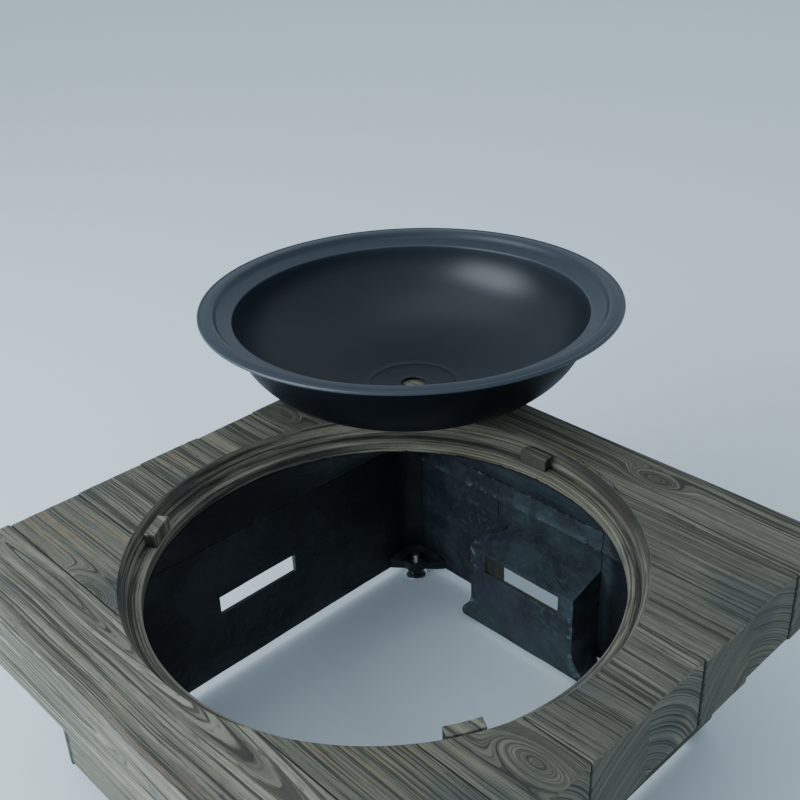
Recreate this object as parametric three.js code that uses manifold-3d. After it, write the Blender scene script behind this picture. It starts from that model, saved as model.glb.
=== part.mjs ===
// Square fire pit: a hollow cast surround with a board-look top, on four levelling feet, and a
// lift-out spun steel fire bowl. Millimetres, +Z up, the floor is z = 0, and the origin is under the
// centre of the round opening. The boards run along Y. The bowl stands beside its opening, on the
// +X +Y corner of the top.
import * as THREE from 'three';
import { ConvexGeometry } from 'three/addons/geometries/ConvexGeometry.js';
import { mergeVertices } from 'three/addons/utils/BufferGeometryUtils.js';
import Module from 'manifold-3d';

// ---- Driving dimensions -------------------------------------------------------------------------
const TOP_SIDE = 700;            // side of the square top
const TOP_Z = 302;               // height of the top surface
const EDGE_DEPTH = 90;           // depth of the top's board-look edge
const SKIN = 8;                  // thickness of the top's cast skin
const PLATE = 12;                // thickness of the top plate itself
const BOARDS = 8;                // boards across the top
const GROOVE = { width: 3, depth: 2 };           // V groove between two boards
const END_SETBACK = [0, 3, 1, 0, 2, 0, 3, 1];    // how far each board's ends stand back

const RING = {
  topR: 285.7,                   // edge of the opening in the top surface
  lipR: 278, lipDepth: 19,       // foot of the sloping band
  ledgeDepth: 24.7, innerR: 263.8,
  bottomDepth: 41, outerR: 294,
};
const PAD = { count: 3, first: 2, width: 38, top: 6 };  // rest pads: angle in degrees, drop below the top

const WALL = 6;                  // thickness of the side panels
const HALF_X = 288;              // inner faces of the left and right panels
const HALF_Y = 251;              // inner faces of the front and back panels
const CLEARANCE = 12;            // gap under the walls
const SOFFIT = TOP_Z - EDGE_DEPTH;               // underside of the top, where the collar meets the panels
const SLOT = { half: 62, top: TOP_Z - 172, bottom: TOP_Z - 198, fall: 5 };
const RECESS = { half: 80, back: 239, roofOut: TOP_Z - 154, roofIn: TOP_Z - 171 };

const FOOT = { x: 260, y: 223, padR: 16, padH: 5, nutAF: 19, nutTop: 11.5, studR: 5, studTop: 37 };
const BOSS = { r: 14.5, height: 16, bore: 11.3, web: 11, armX: 28, armY: 39 };
const INSERT = { r: 11, height: 12 };
const GAP = 0.3;                 // between touching pieces

const BOWL = {
  x: 284, y: 240.4, lean: 1.626, rimR: 281, lipHeight: 126.2, bodyR: 239.3, bodyTop: 113.6, wall: 2.5,
  dimpleR: 61, dimpleRise: 0.8, holeR: 16, fullness: 0.6,
};

const wasm = await Module();
wasm.setup();

// ---- Materials ----------------------------------------------------------------------------------
const finish = (color, roughness, metalness) => () =>
  new THREE.MeshStandardMaterial({ color, roughness, metalness });
const castWood = finish(0x77726a, 0.85, 0);
const castInside = finish(0x23292f, 0.9, 0);
const zinc = finish(0xb9bcc0, 0.35, 1);
const blackZinc = finish(0x17181a, 0.45, 0.8);
const satinBlack = finish(0x15181d, 0.5, 0.6);

// ---- Solid helpers ------------------------------------------------------------------------------
function solid(geometry) {
  const bare = geometry.index ? geometry.clone() : geometry;
  bare.deleteAttribute('normal');
  bare.deleteAttribute('uv');
  const merged = mergeVertices(bare, 1e-4);
  return new wasm.Manifold(new wasm.Mesh({
    numProp: 3,
    vertProperties: new Float32Array(merged.attributes.position.array),
    triVerts: new Uint32Array(merged.index.array),
  }));
}

function geometryOf(manifold) {
  const { vertProperties, triVerts } = manifold.getMesh();
  const geometry = new THREE.BufferGeometry();
  geometry.setAttribute('position', new THREE.BufferAttribute(vertProperties, 3));
  geometry.setIndex(new THREE.BufferAttribute(triVerts, 1));
  return geometry;
}

const box = (x0, x1, y0, y1, z0, z1) => solid(new THREE.BoxGeometry(x1 - x0, y1 - y0, z1 - z0)
  .translate((x0 + x1) / 2, (y0 + y1) / 2, (z0 + z1) / 2));

// An outline in the XY plane, extruded along +Z from z0 to z1.
function prism(points, z0, z1) {
  const shape = new THREE.Shape(points.map(([x, y]) => new THREE.Vector2(x, y)));
  const settings = { depth: z1 - z0, bevelEnabled: false, steps: 1 };
  return solid(new THREE.ExtrudeGeometry(shape, settings).translate(0, 0, z0));
}

// An outline in the XZ plane, extruded along Y from y0 to y1.
function prismAlongY(points, y0, y1) {
  const shape = new THREE.Shape(points.map(([x, z]) => new THREE.Vector2(x, z)));
  const settings = { depth: y1 - y0, bevelEnabled: false, steps: 1 };
  const geometry = new THREE.ExtrudeGeometry(shape, settings);
  return solid(geometry.rotateX(Math.PI / 2).translate(0, y1, 0));
}

// An outline in the YZ plane, extruded along X from x0 to x1.
function prismAlongX(points, x0, x1) {
  const shape = new THREE.Shape(points.map(([y, z]) => new THREE.Vector2(y, z)));
  const settings = { depth: x1 - x0, bevelEnabled: false, steps: 1 };
  const geometry = new THREE.ExtrudeGeometry(shape, settings);
  return solid(geometry.rotateX(Math.PI / 2).rotateZ(Math.PI / 2).translate(x0, 0, 0));
}

// A closed outline of [radius, height] points turned about Z.
function turned(points, segments) {
  const outline = [...points, points[0]].map(([r, z]) => new THREE.Vector2(r, z));
  return solid(new THREE.LatheGeometry(outline, segments).rotateX(Math.PI / 2));
}

const group = new THREE.Group();

function add(name, manifold, material) {
  const mesh = new THREE.Mesh(geometryOf(manifold), material());
  mesh.name = name;
  group.add(mesh);
  return mesh;
}

// ---- Top slab -----------------------------------------------------------------------------------
const half = TOP_SIDE / 2;
const boardWidth = TOP_SIDE / BOARDS;
const ringZ = (depth) => TOP_Z - depth;

// The outline steps in and out at the ends of the boards.
function slabOutline() {
  const ends = END_SETBACK.map((setback, i) => ({
    from: -half + i * boardWidth, to: -half + (i + 1) * boardWidth, end: half - setback,
  }));
  const front = ends.flatMap(({ from, to, end }) => [[from, -end], [to, -end]]);
  const back = ends.flatMap(({ from, to, end }) => [[from, end], [to, end]]);
  return [...front, ...back.reverse()];
}

function topSlab() {
  const skirtIn = half - SKIN - Math.max(...END_SETBACK);
  let slab = prism(slabOutline(), SOFFIT, TOP_Z);
  // hollow the slab from below, up to the plate, and leave a soffit up to the collar
  const gapX = HALF_X + WALL + GAP;
  const gapY = RING.innerR + WALL + GAP;
  slab = slab.subtract(box(-skirtIn, skirtIn, -skirtIn, skirtIn, SOFFIT + SKIN, TOP_Z - PLATE));
  slab = slab.subtract(box(-gapX, gapX, -gapY, gapY, SOFFIT - 1, SOFFIT + SKIN + 1));
  // the ring that frames the opening
  slab = slab.add(turned([
    [RING.innerR - 20, ringZ(RING.bottomDepth)], [RING.outerR, ringZ(RING.bottomDepth)],
    [RING.outerR, ringZ(PLATE / 2)], [RING.innerR - 20, ringZ(PLATE / 2)],
  ], 96));
  slab = slab.subtract(turned([
    [0, ringZ(RING.bottomDepth) - 1], [RING.innerR, ringZ(RING.bottomDepth) - 1],
    [RING.innerR, ringZ(RING.ledgeDepth)], [RING.lipR, ringZ(RING.ledgeDepth)],
    [RING.lipR, ringZ(RING.lipDepth)], [RING.topR - 3.4, ringZ(8)], [RING.topR - 0.9, ringZ(2)],
    [RING.topR, ringZ(0)], [RING.topR, ringZ(-1)], [0, ringZ(-1)],
  ], 96));
  for (let i = 1; i < BOARDS; i++) {
    const x = -half + i * boardWidth;
    const vee = [[x - GROOVE.width / 2, TOP_Z + 0.01], [x, TOP_Z - GROOVE.depth],
      [x + GROOVE.width / 2, TOP_Z + 0.01]];
    slab = slab.subtract(prismAlongY(vee, -half - 1, half + 1));
  }
  return slab;
}
add('top_slab', topSlab(), castWood);

// ---- Collar -------------------------------------------------------------------------------------
// It joins the ring to the side panels: its inside slopes from the round opening above down and out
// to the rectangle of the panels.
function collar() {
  const top = ringZ(RING.bottomDepth) - GAP;
  const outerY = RING.innerR + WALL;
  const circle = Array.from({ length: 96 }, (_, i) => {
    const angle = (i * Math.PI) / 48;
    return new THREE.Vector3(RING.innerR * Math.cos(angle), RING.innerR * Math.sin(angle), top + 0.5);
  });
  const corners = [[1, 1], [-1, 1], [-1, -1], [1, -1]].map(([sx, sy]) => (
    new THREE.Vector3(sx * HALF_X, sy * HALF_Y, SOFFIT - 0.5)));
  return box(-HALF_X - WALL, HALF_X + WALL, -outerY, outerY, SOFFIT, top)
    .subtract(solid(new ConvexGeometry([...circle, ...corners])));
}
add('collar', collar(), castInside);

// ---- Side panels --------------------------------------------------------------------------------
const wallTop = SOFFIT - GAP;

// The sill of a slot falls towards the outside, so that rain runs out.
const slotOutline = (inside, outside) => [[inside, SLOT.bottom],
  [outside, SLOT.bottom - SLOT.fall], [outside, SLOT.top], [inside, SLOT.top]];

function endPanel() {
  const x = HALF_X + WALL;
  const panel = box(-x, x, HALF_Y, HALF_Y + WALL, CLEARANCE, wallTop);
  const slot = slotOutline(HALF_Y - 1, HALF_Y + WALL + 1);
  return panel.subtract(prismAlongX(slot, -SLOT.half, SLOT.half));
}

// The recess is a hand hold: open below, with a sloping roof, and the slot is in its back.
function sidePanel() {
  const y = HALF_Y - GAP;
  const outer = HALF_X + WALL;
  const inner = RECESS.back - WALL;
  const shell = [[inner, CLEARANCE], [outer, CLEARANCE], [outer, RECESS.roofOut + WALL],
    [inner, RECESS.roofIn + WALL]];
  const hollow = [[RECESS.back, CLEARANCE - 1], [outer + 1, CLEARANCE - 1],
    [outer + 1, RECESS.roofOut], [RECESS.back, RECESS.roofIn]];
  return box(HALF_X, outer, -y, y, CLEARANCE, wallTop)
    .add(prismAlongY(shell, -RECESS.half - WALL, RECESS.half + WALL))
    .subtract(prismAlongY(hollow, -RECESS.half, RECESS.half))
    .subtract(prismAlongY(slotOutline(inner - 1, RECESS.back + 1), -SLOT.half, SLOT.half));
}

const placedPanels = [
  ['side_panel_back', endPanel(), 0], ['side_panel_front', endPanel(), Math.PI],
  ['side_panel_right', sidePanel(), 0], ['side_panel_left', sidePanel(), Math.PI],
];
for (const [name, manifold, turn] of placedPanels) {
  add(name, manifold, castWood).rotation.z = turn;
}

// ---- Rest pads on the ledge ---------------------------------------------------------------------
function restPad() {
  const ring = turned([
    [RING.innerR, ringZ(RING.ledgeDepth) + GAP], [RING.lipR - GAP, ringZ(RING.ledgeDepth) + GAP],
    [RING.lipR - GAP, ringZ(PAD.top)], [RING.innerR, ringZ(PAD.top)],
  ], 96);
  return ring.intersect(box(0, half, -PAD.width / 2, PAD.width / 2, 0, TOP_Z));
}
for (let i = 0; i < PAD.count; i++) {
  const turn = PAD.first + (360 / PAD.count) * i;
  add(`rest_pad_${i + 1}`, restPad(), castWood).rotation.z = THREE.MathUtils.degToRad(turn);
}

// ---- Corner bosses and levelling feet -----------------------------------------------------------
// Each boss is a mound on a web across the corner between two panels, and holds a threaded insert.
function cornerBoss() {
  const { r, height } = BOSS;
  const [x, y] = [FOOT.x, FOOT.y];
  const [wallX, wallY] = [HALF_X - GAP, HALF_Y - GAP];
  const mound = turned([[0, CLEARANCE], [r, CLEARANCE], [r, CLEARANCE + height - 3],
    [r - 2, CLEARANCE + height], [0, CLEARANCE + height]], 32).translate([x, y, 0]);
  const web = prism([[x - BOSS.armX, wallY], [wallX, y - BOSS.armY], [wallX, wallY]],
    CLEARANCE, CLEARANCE + BOSS.web);
  const bore = turned([[0, 0], [BOSS.bore, 0], [BOSS.bore, 60], [0, 60]], 24).translate([x, y, 0]);
  return mound.add(web).subtract(bore);
}

const insert = () => turned([
  [FOOT.studR + GAP, CLEARANCE], [INSERT.r, CLEARANCE], [INSERT.r, CLEARANCE + INSERT.height],
  [FOOT.studR + GAP, CLEARANCE + INSERT.height],
], 20);
const stud = () => turned([
  [0, FOOT.padH + GAP], [FOOT.studR, FOOT.padH + GAP], [FOOT.studR, FOOT.studTop - 1.5],
  [FOOT.studR - 1.5, FOOT.studTop], [0, FOOT.studTop],
], 16);
const footPad = () => turned([
  [0, 0], [FOOT.padR, 0], [FOOT.padR, 2], [FOOT.padR - 5, FOOT.padH], [0, FOOT.padH],
], 28);
function footNut() {
  const corner = FOOT.nutAF / Math.sqrt(3);
  const points = Array.from({ length: 6 }, (_, i) => [
    corner * Math.cos((i * Math.PI) / 3), corner * Math.sin((i * Math.PI) / 3)]);
  const bore = turned([[0, 0], [FOOT.studR + GAP, 0], [FOOT.studR + GAP, 60], [0, 60]], 16);
  return prism(points, FOOT.padH + GAP, FOOT.nutTop).subtract(bore);
}

const corners = [['back_right', 1, 1], ['back_left', -1, 1], ['front_left', -1, -1],
  ['front_right', 1, -1]];
for (const [where, sx, sy] of corners) {
  const boss = cornerBoss();
  const placed = sx === 1 ? boss : boss.mirror([1, 0, 0]);
  add(`corner_boss_${where}`, sy === 1 ? placed : placed.mirror([0, 1, 0]), castInside);
  const foot = [['insert', insert(), zinc], ['foot_stud', stud(), zinc],
    ['foot_nut', footNut(), blackZinc], ['foot_pad', footPad(), zinc]];
  for (const [piece, manifold, material] of foot) {
    add(`${piece}_${where}`, manifold, material).position.set(sx * FOOT.x, sy * FOOT.y, 0);
  }
}

// ---- Fire bowl ----------------------------------------------------------------------------------
// The outside runs from the drain hole over the shallow dimple and up the body,
// r = bodyR cos(t)^fullness, height = bodyTop (1 - sin t), then out along a sloping shoulder, up a
// steep step and over the flange to the rim. The bowl leans back from the front left corner.
function bowlOutline() {
  const depth = BOWL.lipHeight;
  const body = [];
  for (let i = 0; i <= 12; i++) {
    const t = THREE.MathUtils.degToRad(84 - 7 * i);
    body.push([BOWL.bodyR * Math.cos(t) ** BOWL.fullness, BOWL.bodyTop * (1 - Math.sin(t))]);
  }
  const outside = [
    [BOWL.holeR, BOWL.dimpleRise + 1.2], [BOWL.holeR + 1.2, BOWL.dimpleRise],
    [BOWL.dimpleR - 5, BOWL.dimpleRise], [BOWL.dimpleR, 0], ...body,
    [BOWL.bodyR + 1.4, depth - 11.2], [BOWL.rimR - 24, depth - 6], [BOWL.rimR - 18, depth + 1.6],
    [BOWL.rimR - 4, depth + 1.6], [BOWL.rimR - 2.4, depth],
  ];
  const inside = [
    [BOWL.rimR - 0.8, depth], [BOWL.rimR, depth + 2], [BOWL.rimR - 1.2, depth + 4],
    [BOWL.rimR - 3, depth + 4.5], [BOWL.rimR - 16, depth + 4.5], [BOWL.rimR - 19.6, depth + 3.4],
    [BOWL.rimR - 24.8, depth - 3.4], [BOWL.rimR - 42.4, depth - 8.9], [BOWL.bodyR - 2.4, depth - 11],
    ...body.slice(1, -1).reverse().map(([r, z]) => [r - BOWL.wall * 0.9, z + BOWL.wall * 0.45 + 0.4]),
    [BOWL.dimpleR + 2, BOWL.wall + 0.2], [BOWL.dimpleR - 5.6, BOWL.dimpleRise + BOWL.wall],
    [BOWL.holeR + 1.2, BOWL.dimpleRise + BOWL.wall], [BOWL.holeR, BOWL.dimpleRise + BOWL.wall - 1.2],
  ];
  return [...outside, ...inside];
}
const LEAN_LOW = BOWL.dimpleR * Math.sin(THREE.MathUtils.degToRad(BOWL.lean)) + 0.02;
add('bowl', turned(bowlOutline(), 72).rotate([-0.676 * BOWL.lean, 0.737 * BOWL.lean, 0]), satinBlack)
  .position.set(BOWL.x, BOWL.y, TOP_Z + GAP + LEAN_LOW);

export default group;
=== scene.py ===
# %% [markdown]
# # A square fire pit with its bowl lifted out
# The surround is one hollow casting that looks like old boards. A round, stepped opening in its top
# holds a spun steel bowl. Here the bowl has been lifted out and stands on one corner of the top.
# The engineering model gives every size, so it is loaded first and never changed. New surfaces are
# then worked out around it, in metres, in the same place.

# %% Load the engineering model
import math

import bmesh
import bpy
import numpy as np
from mathutils import Matrix, Vector


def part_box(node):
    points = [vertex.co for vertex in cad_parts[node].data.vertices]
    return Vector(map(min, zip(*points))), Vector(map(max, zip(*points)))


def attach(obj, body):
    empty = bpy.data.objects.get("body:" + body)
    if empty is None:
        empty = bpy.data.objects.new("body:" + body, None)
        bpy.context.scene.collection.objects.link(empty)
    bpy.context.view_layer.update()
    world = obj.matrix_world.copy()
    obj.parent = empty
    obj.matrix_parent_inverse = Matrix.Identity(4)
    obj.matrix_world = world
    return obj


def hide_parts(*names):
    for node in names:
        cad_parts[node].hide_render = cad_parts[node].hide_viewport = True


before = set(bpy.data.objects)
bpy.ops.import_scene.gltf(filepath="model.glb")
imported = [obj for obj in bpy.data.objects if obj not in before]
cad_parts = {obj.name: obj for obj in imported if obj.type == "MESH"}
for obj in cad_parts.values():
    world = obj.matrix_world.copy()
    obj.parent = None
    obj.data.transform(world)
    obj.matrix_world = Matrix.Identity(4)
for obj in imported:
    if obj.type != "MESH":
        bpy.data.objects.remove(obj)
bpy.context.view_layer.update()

# %% [markdown]
# ## Camera, floor and light
# The camera comes first, because it decides which detail will be seen. A place, a heading, a pitch
# and a small roll fix it. From these, three vectors are built and put into one matrix: that is
# easier to check than three Euler angles.

# %% Camera
CAMERA_AT = Vector((-0.6558, -0.7389, 1.0335))
HEADING, PITCH, ROLL = math.radians(46.98), 0.5068, -0.0419


def aim_camera(place, heading, pitch, roll, lens):
    """Looks along the heading, turned down by pitch: forward = (cos p cos h, cos p sin h, -sin p)."""
    forward = Vector((math.cos(pitch) * math.cos(heading), math.cos(pitch) * math.sin(heading),
                      -math.sin(pitch)))
    right = Vector((math.sin(heading), -math.cos(heading), 0))
    up = right.cross(forward)
    across = right * math.cos(roll) + up * math.sin(roll)
    upward = up * math.cos(roll) - right * math.sin(roll)
    data = bpy.data.cameras.new("camera")
    data.lens, data.sensor_width = lens, 36.0
    data.clip_start, data.clip_end = 0.05, 60.0
    camera = bpy.data.objects.new("camera", data)
    bpy.context.scene.collection.objects.link(camera)
    camera.matrix_world = Matrix.Translation(place) @ Matrix((across, upward, -forward)).transposed().to_4x4()
    bpy.context.scene.camera = camera
    return camera


camera = aim_camera(CAMERA_AT, HEADING, PITCH, ROLL, 50.27)
print("camera at", tuple(round(v, 3) for v in camera.location))

# %% [markdown]
# A mesh here is always a grid: rows and columns of points worked out as whole arrays. Two helpers
# make faces for a grid, and a third puts patches together, merges the points that they share, and
# turns every face outwards.


# %% Grids and meshes
def grid_faces(rows, columns, wrap_rows=False, wrap_columns=False):
    """Four-sided faces of a grid of points; a wrapped side joins its last line to its first."""
    r, c = np.meshgrid(np.arange(rows if wrap_rows else rows - 1),
                       np.arange(columns if wrap_columns else columns - 1), indexing="ij")
    down, right = (r + 1) % rows, (c + 1) % columns
    corners = [r * columns + c, r * columns + right, down * columns + right, down * columns + c]
    return np.stack(corners, -1).reshape(-1, 4)


class Patches:
    """Collects grids of points, each with values that the materials read at those points."""

    def __init__(self):
        self.points, self.faces, self.values, self.count = [], [], [], 0

    def add(self, points, grain, wear=0.0, inside=0.0, tone=0.5, keep=None, **wraps):
        """points and grain are (rows, columns, 3); wear, inside and tone are numbers or (rows, columns); wear
        and tone also carry painted light and shade.
        """
        rows, columns = points.shape[:2]
        faces = grid_faces(rows, columns, **wraps)
        if keep is not None:
            faces = faces[keep.ravel()]
        marks = [np.broadcast_to(v, (rows, columns)).ravel() for v in (wear, inside, tone)]
        self.points.append(points.reshape(-1, 3))
        self.faces.append(faces + self.count)
        self.values.append(np.column_stack([grain.reshape(-1, 3), *marks]))
        self.count += rows * columns
        return self


def piece(name, patches, body, nodes, material, crease=40, weld=2e-6):
    """One closed mesh of the patches, riding on a body and standing for the named nodes."""
    values = np.concatenate(patches.values).astype(np.float32)
    mesh = bpy.data.meshes.new(name)
    mesh.from_pydata(np.concatenate(patches.points), [], np.concatenate(patches.faces).tolist())
    mesh.attributes.new("grain", "FLOAT_VECTOR", "POINT").data.foreach_set("vector", values[:, :3].ravel())
    for k, label in enumerate(("wear", "inside", "tone")):
        mesh.attributes.new(label, "FLOAT", "POINT").data.foreach_set("value", values[:, 3 + k].copy())
    work = bmesh.new()
    work.from_mesh(mesh)
    bmesh.ops.remove_doubles(work, verts=work.verts, dist=weld)
    loose = [v for v in work.verts if not v.link_faces]
    bmesh.ops.delete(work, geom=loose, context="VERTS")
    bmesh.ops.recalc_face_normals(work, faces=work.faces)
    holes = sum(e.is_boundary for e in work.edges)
    work.to_mesh(mesh)
    work.free()
    mesh.shade_smooth()
    mesh.set_sharp_from_angle(angle=math.radians(crease))
    mesh.materials.append(material)
    made = bpy.data.objects.new(name, mesh)
    bpy.context.scene.collection.objects.link(made)
    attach(made, body)
    if nodes:
        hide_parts(*nodes)
    print(f"{name}: {len(mesh.vertices)} points, {len(mesh.polygons)} faces, {holes} open edges")
    return made


# %% [markdown]
# Nothing hand-made is quite even. Value noise gives that: a random number at each crossing of a
# lattice, blended smoothly in between. Its table is seeded, so every run gives the same surface.


# %% Seeded noise
def noise(x, y, seed):
    """Smooth heights from -1 to 1: lattice numbers a, blended with w = 3t^2 - 2t^3 both ways."""
    table = np.random.default_rng(seed).uniform(-1, 1, (64, 64))
    column, row = np.floor(x).astype(int), np.floor(y).astype(int)
    u, v = x - column, y - row
    u, v = u * u * (3 - 2 * u), v * v * (3 - 2 * v)
    a, b = table[column % 64, row % 64], table[(column + 1) % 64, row % 64]
    c, d = table[column % 64, (row + 1) % 64], table[(column + 1) % 64, (row + 1) % 64]
    return (a * (1 - u) + b * u) * (1 - v) + (c * (1 - u) + d * u) * v


def rough(x, y, size, seed):
    """Three layers of noise, each half as large and half as high as the one before."""
    return sum(noise(x / size * 2 ** k, y / size * 2 ** k, seed + k) / 2 ** k for k in range(3)) / 1.75


def smooth(t):
    """0 below 0, 1 above 1, and 3t^2 - 2t^3 in between."""
    t = np.clip(t, 0, 1)
    return t * t * (3 - 2 * t)


def stack(*parts):
    """Joins arrays of x, y and z into points, spreading single numbers over the whole grid."""
    return np.stack(np.broadcast_arrays(*parts), -1).astype(float)


# %% [markdown]
# ## Finishes
# Every finish is built from nodes. Effects that more than one finish uses are groups with named
# inputs, which give out only masks, colours and heights: old board grain, cast-in blotches and
# small pits. Each material then mixes them with its own colours.


# %% Node helpers
class Tree:
    """Adds nodes to a node tree and links them in one call each."""

    def __init__(self, tree):
        self.tree = tree

    def node(self, kind, inputs=None, **settings):
        made = self.tree.nodes.new(kind)
        for key, value in settings.items():
            setattr(made, key, value)
        for key, value in (inputs or {}).items():
            if isinstance(value, bpy.types.NodeSocket):
                self.tree.links.new(value, made.inputs[key])
            else:
                made.inputs[key].default_value = value
        return made

    def math(self, operation, a, b=0.0, clamp=False):
        return self.node("ShaderNodeMath", {0: a, 1: b}, operation=operation, use_clamp=clamp).outputs[0]

    def noise(self, vector, scale, detail=3.0, roughness=0.5, distortion=0.0):
        inputs = {"Vector": vector, "Scale": scale, "Detail": detail, "Roughness": roughness,
                  "Distortion": distortion}
        return self.node("ShaderNodeTexNoise", inputs).outputs["Fac"]

    def stretch(self, vector, scale):
        return self.node("ShaderNodeMapping", {"Vector": vector, "Scale": scale}).outputs[0]

    def between(self, value, low, high, to_low=0.0, to_high=1.0):
        """value from low to high becomes to_low to to_high, smoothly, and stays there beyond."""
        inputs = {"Value": value, "From Min": low, "From Max": high, "To Min": to_low, "To Max": to_high}
        return self.node("ShaderNodeMapRange", inputs, interpolation_type="SMOOTHSTEP").outputs[0]

    def mix(self, share, a, b, blend="MIX"):
        made = self.node("ShaderNodeMix", data_type="RGBA", blend_type=blend)
        for socket, value in ((made.inputs[0], share), (made.inputs[6], a), (made.inputs[7], b)):
            if isinstance(value, bpy.types.NodeSocket):
                self.tree.links.new(value, socket)
            else:
                socket.default_value = value
        return made.outputs[2]

    def read(self, name, output="Fac"):
        return self.node("ShaderNodeAttribute", attribute_name=name).outputs[output]

    def place(self):
        return self.node("ShaderNodeTexCoord").outputs["Object"]

    def bump(self, height, distance, strength=1.0):
        inputs = {"Height": height, "Distance": distance, "Strength": strength}
        return self.node("ShaderNodeBump", inputs).outputs[0]


def group(name, inputs, outputs, fill):
    """A shader node group: inputs are {name: default}, where None is a vector; fill wires it up."""
    tree = bpy.data.node_groups.new(name, "ShaderNodeTree")
    for label, value in inputs.items():
        kind = "NodeSocketVector" if value is None else "NodeSocketFloat"
        socket = tree.interface.new_socket(label, in_out="INPUT", socket_type=kind)
        if value is not None:
            socket.default_value = value
    for label in outputs:
        tree.interface.new_socket(label, in_out="OUTPUT", socket_type="NodeSocketFloat")
    start, end = tree.nodes.new("NodeGroupInput"), tree.nodes.new("NodeGroupOutput")
    for label, socket in fill(Tree(tree), start.outputs).items():
        tree.links.new(socket, end.inputs[label])
    return tree


def place_group(t, tree, inputs):
    return t.node("ShaderNodeGroup", inputs, node_tree=tree).outputs


def material(name, fill, **fixed):
    """fill wires the changing sockets; fixed values go straight onto the shader's own sockets."""
    made = bpy.data.materials.new(name)
    made.use_nodes = True
    shader = made.node_tree.nodes["Principled BSDF"]
    for key, value in fixed.items():
        shader.inputs[key.replace("_", " ")].default_value = value
    for label, socket in fill(Tree(made.node_tree)).items():
        made.node_tree.links.new(socket, shader.inputs[label])
    print("material", name, "has", len(made.node_tree.nodes), "nodes")
    return made


# %% [markdown]
# Board grain is read from a vector that lies on the surface: its first number crosses the growth
# lines, the others run along them. Stretching noise far more one way than the other draws the lines.


# %% Shared node groups
def wire_grain(t, given):
    vector = given["Grain"]
    bands = t.noise(t.stretch(vector, (120, 1.6, 1)), 1.0, 2.0, 0.55, 0.2)
    lines = t.noise(t.stretch(vector, (420, 3.2, 1)), 1.0, 3.0, 0.62, 0.05)
    fibres = t.noise(t.stretch(vector, (800, 13, 1)), 1.0, 2.0, 0.7)
    pores = t.between(t.noise(t.stretch(vector, (900, 55, 1)), 1.0, 1.0), 0.60, 0.74)
    dark = t.between(lines, 0.50, 0.42)
    height = t.math("ADD", t.math("MULTIPLY", lines, 0.65), t.math("MULTIPLY", fibres, 0.35))
    height = t.math("SUBTRACT", height, t.math("MULTIPLY", pores, 0.25))
    return {"Bands": bands, "Lines": lines, "Dark lines": dark, "Fibres": fibres, "Pores": pores,
            "Height": height}


def wire_pits(t, given):
    spots = t.node("ShaderNodeTexVoronoi", {"Vector": given["Place"], "Scale": given["Scale"]})
    patchy = t.noise(given["Place"], 31.0, 2.0)
    pits = t.math("MULTIPLY", t.between(spots.outputs["Distance"], 0.16, 0.05), t.between(patchy, 0.52, 0.62))
    return {"Pits": pits}


def wire_lumps(t, given):
    wide = t.noise(given["Place"], given["Scale"], 5.0, 0.62, 0.4)
    narrow = t.noise(given["Place"], t.math("MULTIPLY", given["Scale"], 7.0), 3.0, 0.6)
    ridges = t.between(t.math("ABSOLUTE", t.math("SUBTRACT", wide, 0.5)), 0.05, 0.0)
    return {"Wide": wide, "Narrow": narrow, "Ridges": ridges}


GRAIN = group("board_grain", {"Grain": None},
              ["Bands", "Lines", "Dark lines", "Fibres", "Pores", "Height"], wire_grain)
PITS = group("cast_pits", {"Place": None, "Scale": 260.0}, ["Pits"], wire_pits)
LUMPS = group("hand_laid_lumps", {"Place": None, "Scale": 14.0}, ["Wide", "Narrow", "Ridges"], wire_lumps)
print("groups:", GRAIN.name, PITS.name, LUMPS.name)

# %% [markdown]
# The casting is stained to look like weathered oak outside, and is left as dark, hand-laid resin
# inside. One material covers both: a value on the mesh says how far inside a point is, and noise
# makes the stain's edge ragged, as a brush leaves it.

# %% Cast boards and their dark inside
# the darkest stain colour serves dark grain lines and board joints, and also painted shade
DARK_STAIN_AND_SHADE, STAIN_GREY = (0.020, 0.019, 0.014, 1), (0.100, 0.095, 0.071, 1)
STAIN_LIGHT, STAIN_TAN = (0.220, 0.205, 0.150, 1), (0.180, 0.140, 0.080, 1)
STAIN_RED = (0.105, 0.070, 0.052, 1)
STAIN_BLUE, RAW_DARK, RAW_TEAL = (0.058, 0.070, 0.070, 1), (0.015, 0.021, 0.026, 1), (0.038, 0.054, 0.062, 1)
RAW_VIOLET, RAW_CHALK = (0.026, 0.026, 0.040, 1), (0.17, 0.22, 0.25, 1)


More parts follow.
